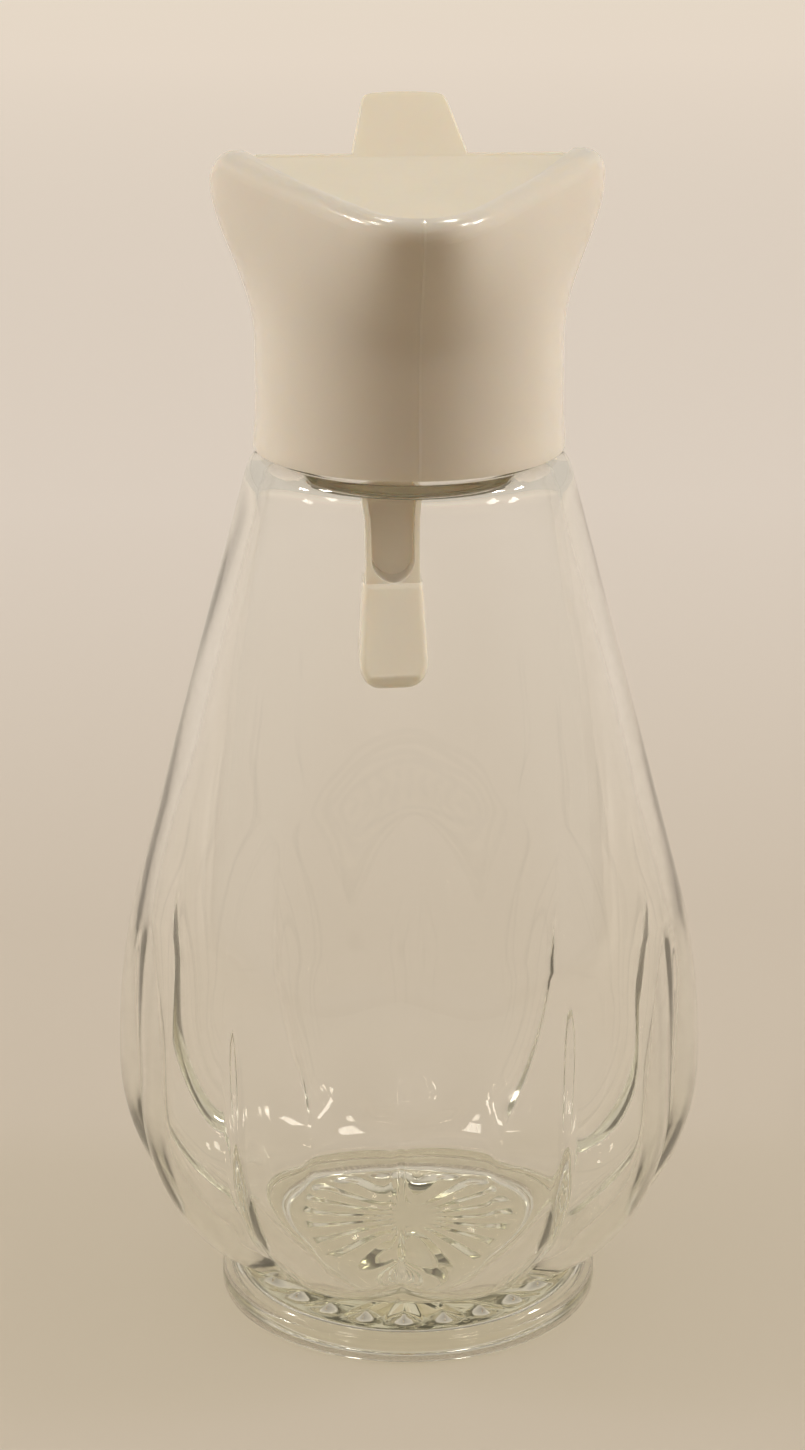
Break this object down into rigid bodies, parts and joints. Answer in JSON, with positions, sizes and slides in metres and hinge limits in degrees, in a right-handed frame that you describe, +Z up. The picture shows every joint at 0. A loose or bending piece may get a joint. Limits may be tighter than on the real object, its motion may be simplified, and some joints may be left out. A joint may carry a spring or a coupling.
{
  "type": "syrup pouring bottle",
  "caption": "Lobed clear glass pouring bottle on a round foot, with a flared plastic collar, a curved rear handle and a hinged lid worked by a thumb lever.",
  "frame": {"origin": "centre of the glass foot's standing face, on the surface it stands on", "axes": "+Z up along the bottle's axis, -Y towards the pouring lip, +Y towards the handle, +X to the right seen from the lip"},
  "size_m": [0.082, 0.0917, 0.1692],
  "materials": {
    "glass": "clear pressed glass, polished",
    "collar_plastic": "glossy white moulded plastic",
    "lid_plastic": "satin cream moulded plastic"
  },
  "bodies": {
    "root": {"glass_bottle": "glass", "collar": "collar_plastic"},
    "lid": {"lid": "lid_plastic"}
  },
  "joints": [
    {"name": "lid_hinge", "type": "hinge", "parent": "root", "child": "lid", "pos_m": [0, -0.0007, 0.1614], "axis": [-1, 0, 0], "range_deg": [0, 45]}
  ]
}
